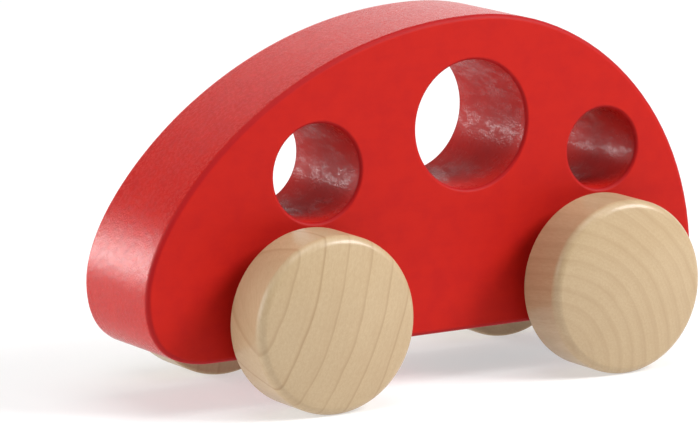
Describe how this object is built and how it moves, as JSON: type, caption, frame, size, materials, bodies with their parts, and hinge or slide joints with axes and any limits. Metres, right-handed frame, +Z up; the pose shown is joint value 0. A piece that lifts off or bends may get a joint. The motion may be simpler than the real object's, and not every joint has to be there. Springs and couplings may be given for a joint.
{
  "type": "pull back car",
  "caption": "Palm-size wooden grip car: one arched slab body with round finger windows, domed disc wheels and a hidden spring motor on the rear axle.",
  "frame": {"origin": "on the ground, under the middle of the car's bounding box", "axes": "+X towards the car's nose, +Y to the car's left along the axles, +Z up"},
  "size_m": [0.13, 0.062, 0.0744],
  "materials": {
    "red_painted_wood": "satin red paint over fine-grained hardwood",
    "clear_maple": "satin clear lacquer over pale maple",
    "dowel_wood": "bare dowel",
    "bright_steel": "bright drawn steel",
    "spring_steel": "blued spring strip",
    "gear_plastic": "natural acetal",
    "bush_plastic": "natural nylon",
    "black_plastic": "fine-grained black moulding"
  },
  "bodies": {
    "chassis": {"body": "red_painted_wood", "bush_front_left": "bush_plastic", "bush_front_right": "bush_plastic", "bush_rear_left": "bush_plastic", "bush_rear_right": "bush_plastic", "motor_casing_left": "black_plastic", "motor_casing_right": "black_plastic", "motor_bearing_plate": "bright_steel", "casing_screw_1": "bright_steel", "casing_screw_2": "bright_steel", "casing_screw_3": "bright_steel", "casing_screw_4": "bright_steel", "drive_gear_pin": "bright_steel", "winding_idler_pin": "bright_steel", "mainspring": "spring_steel", "motor_cover": "black_plastic", "cover_screw_1": "bright_steel", "cover_screw_2": "bright_steel"},
    "front_wheelset": {"wheel_front_left": "clear_maple", "wheel_front_right": "clear_maple", "front_axle": "dowel_wood"},
    "rear_wheelset": {"wheel_rear_left": "clear_maple", "wheel_rear_right": "clear_maple", "rear_axle": "bright_steel", "axle_pinion": "gear_plastic", "axle_winding_gear": "gear_plastic"},
    "drive_gear": {"drive_gear": "gear_plastic"},
    "spring_shaft": {"spring_arbor": "bright_steel", "spring_drive_gear": "gear_plastic", "spring_winding_gear": "gear_plastic"},
    "winding_idler": {"winding_idler": "gear_plastic"}
  },
  "joints": [
    {"name": "front_axle_spin", "type": "hinge", "parent": "chassis", "child": "front_wheelset", "pos_m": [0.0308, 0, 0.018], "axis": [0, 1, 0], "continuous": true},
    {"name": "rear_axle_spin", "type": "hinge", "parent": "chassis", "child": "rear_wheelset", "pos_m": [-0.0382, 0, 0.018], "axis": [0, 1, 0], "continuous": true},
    {"name": "drive_gear_spin", "type": "hinge", "parent": "chassis", "child": "drive_gear", "pos_m": [-0.02891, 0, 0.0217], "axis": [0, 1, 0], "continuous": true},
    {"name": "spring_arbor_spin", "type": "hinge", "parent": "chassis", "child": "spring_shaft", "pos_m": [-0.01891, 0, 0.0217], "axis": [0, 1, 0], "continuous": true},
    {"name": "winding_idler_spin", "type": "hinge", "parent": "chassis", "child": "winding_idler", "pos_m": [-0.03037, 0, 0.02264], "axis": [0, 1, 0], "continuous": true}
  ],
  "couplings": [
    {"joint": "drive_gear_spin", "follows": "rear_axle_spin", "ratio": -0.42857},
    {"joint": "spring_arbor_spin", "follows": "rear_axle_spin", "ratio": 0.18367},
    {"joint": "winding_idler_spin", "follows": "rear_axle_spin", "ratio": -0.28571}
  ]
}
